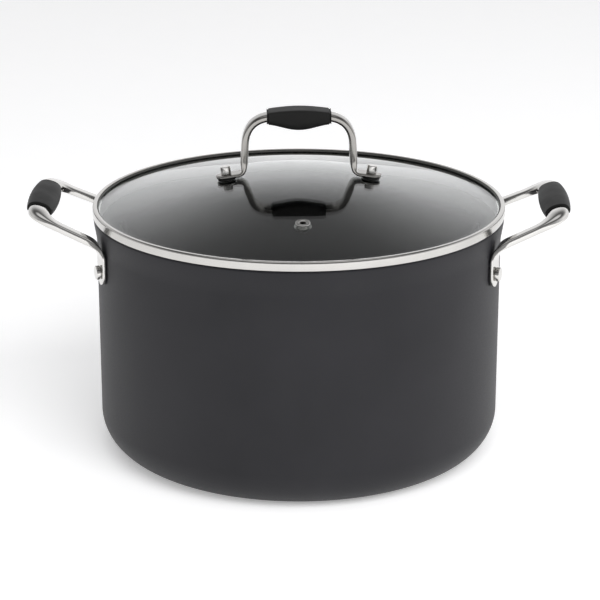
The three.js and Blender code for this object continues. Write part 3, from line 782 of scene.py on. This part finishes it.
def lid_outline(share, grow=0.0, sides=32):
    distance = min(share, 1 - share) * lid_path.total
    bend = RIVET_X - LEG_X + FOOT_R
    leg_end = bend + TOP_Z - dome(LEG_X) - SHOULDER_SETBACK
    leg = smoothstep(bend - FOOT_SETBACK, bend + 2 * FOOT_SETBACK, distance)
    top = smoothstep(leg_end, leg_end + 2 * SHOULDER_SETBACK, distance)
    width = mix(mix(2 * FOOT_R, LID_LEG_WIDTH, leg), LID_TOP_WIDTH, top)
    half = mix(mix(FOOT_THICKNESS, LID_LEG_THICKNESS, leg), LID_TOP_THICKNESS, top) / 2 + grow
    if distance < FOOT_R:  # the foot's round end
        width *= math.sqrt(max(0.0, 1 - (1 - distance / FOOT_R) ** 2))
    return section(width + 2 * grow, half, half, (STRAP_ROUNDING, STRAP_ROUNDING), sides)


def lid_up(share):
    tangent = lid_path.tangent(share)
    return Vector((-tangent.z, 0, tangent.x))


def lid_strap():
    shares = strap_shares(FOOT_R / lid_path.total, 130)
    rings = [ring_at(lid_path, share, lid_outline(share), lid_up(share)) for share in shares]
    points, faces = skin(rings)
    points = [LID_FRAME @ point for point in points]
    # The strap wears the darkened copy of the steel: painted shade.
    piece = add_piece("lid_strap", points, faces, [LID_STEEL_PAINTED_SHADE], sharp=STRAP_SHARP)
    settle(piece, "lid", "lid_handle")


LID_GRIP_HALF = 22.2 * MM
LID_GRIP = {"end": (16.4 * MM, 4.1 * MM, 5.0 * MM), "middle": (17.5 * MM, 5.95 * MM, 9.0 * MM)}
GRIP_LIFT = 0.5 * MM  # its middle line, above the middle of the strap
BELLY_POWER = 1.7
grip_ends = [Vector((x, 0, TOP_Z + GRIP_LIFT)) for x in (-LID_GRIP_HALF, 0, LID_GRIP_HALF)]
grip_line = Path(grip_ends, [0, 1 * MM, 0])


def lid_grip():
    """The lid's sleeve: flat-topped, with a belly under the middle that the fingers close on."""

    def outline(share, shrink):
        middle = math.sin(math.pi * share)
        belly = middle**BELLY_POWER
        width = mix(LID_GRIP["end"][0], LID_GRIP["middle"][0], middle) - 2 * shrink
        up = mix(LID_GRIP["end"][1], LID_GRIP["middle"][1], middle) - shrink
        down = mix(LID_GRIP["end"][2], LID_GRIP["middle"][2], belly) - shrink
        return section(width, up, down, (0.22, 0.6), LID_GRIP_SIDES)

    def bore(share):
        along_strap = 0.5 + (share - 0.5) * 2 * LID_GRIP_HALF / lid_path.total
        return lid_outline(along_strap, BORE_GAP, LID_GRIP_SIDES)

    piece = sleeve(
        "lid_sleeve", grip_line, 0.5, outline, bore, lambda share: UP, SILICONE, LID_FRAME, steps=60
    )
    settle(piece, "lid", "lid_handle_grip")


LID_RIVET = (2.4 * MM, (3.6 * MM, 5.2 * MM), (4.6 * MM, 1.8 * MM))  # shank, head, tail
CUP_THICKNESS = 0.9 * MM


def lid_fasteners():
    under = GLASS + GAP + WASHER_THICKNESS + GAP + CUP_THICKNESS + SLACK
    above = FOOT_LIFT + FOOT_THICKNESS / 2
    for side, sign in (("left", -1), ("right", 1)):
        place = on_dome(sign * RIVET_X, 0) @ Matrix.Translation((0, 0, -under))
        rivet = small_rivet(f"lid_screw_{side}", place, *LID_RIVET, under + above)
        settle(rivet, "lid", f"lid_rivet_{side}")


def vent():
    hole, tube, flange = 2.1 * MM, 3.4 * MM, 5.0 * MM
    below = -GLASS - 3.2 * MM
    roll = 0.6 * MM
    profile = [(hole, below), (tube, below), (tube, GAP), (flange - 0.2 * MM, GAP)]
    profile += arc(flange - roll, GAP + roll, roll, -40, 90, 6)
    profile += arc(hole + roll * 1.6, GAP + roll * 0.6, roll * 1.4, 90, 180, 6)
    piece = turned("vent_tube", profile, [STEEL], steps=SMALL_RING, matrix=on_dome(0, -VENT_Y), closed=True)
    settle(piece, "lid", "vent_eyelet")


glass()
rim_band()
rim_seal()
lid_strap()
lid_grip()
lid_fasteners()
vent()

# ---------------------------------------------------------------- small CAD pieces that stay

for side in ("left", "right"):
    nodes[f"lid_foot_washer_{side}"].data.materials[0] = SILICONE
    nodes[f"lid_inner_washer_{side}"].data.materials[0] = SILICONE
    nodes[f"lid_backing_cup_{side}"].data.materials[0] = STEEL
nodes["vent_washer"].data.materials[0] = STEEL

# ---------------------------------------------------------------- studio


def studio_floor():
    half = 7.0
    corners = [(-half, -half, 0), (half, -half, 0), (half, half, 0), (-half, half, 0)]
    mesh = bpy.data.meshes.new("studio_floor")
    mesh.from_pydata(corners, [], [[0, 1, 2, 3]])
    shader = Shader("white_floor", Specular_IOR_Level=0.1, Emission_Strength=0.33)
    shader.principled.inputs["Emission Color"].default_value = (1.0, 1.0, 1.0, 1.0)
    grain = shader.noise(30, 2.0, 0.5)
    dark, light = (0.90, 0.90, 0.905), (0.915, 0.915, 0.92)
    shader.set("Base Color", shader.ramp(grain, [(0.3, dark), (0.7, light)]))
    shader.principled.inputs["Roughness"].default_value = 0.8
    mesh.materials.append(shader.material)
    floor = bpy.data.objects.new("studio_floor", mesh)
    bpy.context.scene.collection.objects.link(floor)
    floor.location.z = -0.1 * MM
    floor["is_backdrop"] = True


def studio_world():
    """White low down, dark above that, a soft panel overhead; darker in front and on the left."""
    world = bpy.data.worlds.new("studio")
    world.use_nodes = True
    bpy.context.scene.world = world
    tree = world.node_tree
    sky = tree.nodes.new("ShaderNodeTexCoord").outputs["Generated"]
    split = tree.nodes.new("ShaderNodeSeparateXYZ")
    tree.links.new(sky, split.inputs["Vector"])
    ramp = tree.nodes.new("ShaderNodeValToRGB")
    stops = [(0.0, 1.0), (0.30, 1.0), (0.45, 0.70), (0.62, 0.29), (0.75, 0.12), (0.84, 0.12)]
    stops += [(0.93, 0.75), (1.0, 0.8)]  # a soft panel overhead
    elements = ramp.color_ramp.elements
    while len(elements) < len(stops):
        elements.new(0.5)
    for element, (position, level) in zip(elements, stops):
        element.position = position
        element.color = (level, level, level * 1.01, 1)
    tree.links.new(split.outputs["Z"], ramp.inputs["Fac"])
    strength = tree.nodes.new("ShaderNodeMath")
    strength.operation = "MULTIPLY"
    for index, (axis, darkest, lightest) in enumerate((("Y", 0.35, 1.07), ("X", 0.66, 1.0))):
        fade = tree.nodes.new("ShaderNodeMapRange")
        fade.inputs["From Min"].default_value = -0.9
        fade.inputs["From Max"].default_value = 0.0
        fade.inputs["To Min"].default_value = darkest
        fade.inputs["To Max"].default_value = lightest
        tree.links.new(split.outputs[axis], fade.inputs["Value"])
        tree.links.new(fade.outputs["Result"], strength.inputs[index])
    background = tree.nodes["Background"]
    tree.links.new(ramp.outputs["Color"], background.inputs["Color"])
    tree.links.new(strength.outputs["Value"], background.inputs["Strength"])


def area_light(name, place, target, size, power):
    light = bpy.data.lights.new(name, "AREA")
    light.shape = "RECTANGLE"
    light.size, light.size_y = size
    light.energy = power
    lamp = bpy.data.objects.new(name, light)
    bpy.context.scene.collection.objects.link(lamp)
    lamp.location = place
    lamp.visible_glossy = False  # no hard-edged panels in the glass
    lamp.visible_transmission = False
    lamp.rotation_euler = (Vector(target) - Vector(place)).to_track_quat("-Z", "Y").to_euler()


def camera():
    """A long lens in front of the pot and a little to its right, looking down on it."""
    pitch = 0.3255  # radians below level
    azimuth = math.radians(0.85)
    data = bpy.data.cameras.new("camera")
    data.sensor_width = 36
    data.lens = 131.1
    data.clip_end = 50
    eye = bpy.data.objects.new("camera", data)
    bpy.context.scene.collection.objects.link(eye)
    eye.location = Matrix.Rotation(azimuth, 3, "Z") @ Vector((0.0008, -1.470, 0.599))
    eye.rotation_euler = (math.pi / 2 - pitch, 0, azimuth)
    bpy.context.scene.camera = eye


bpy.context.scene.view_settings.view_transform = "Standard"
studio_floor()
studio_world()
area_light("key", (0.7, -2.2, 2.3), (0, 0, 0.1), (3.0, 1.8), 88)
area_light("right_side", (2.4, -0.5, 0.8), (0, 0, 0.1), (1.0, 1.2), 7)
camera()

# ---------------------------------------------------------------- sizes for comparison

visual_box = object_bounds()
boxes = {"cad": cad_box, "visual": visual_box}
{name: [list(corner) for corner in box] for name, box in boxes.items()}
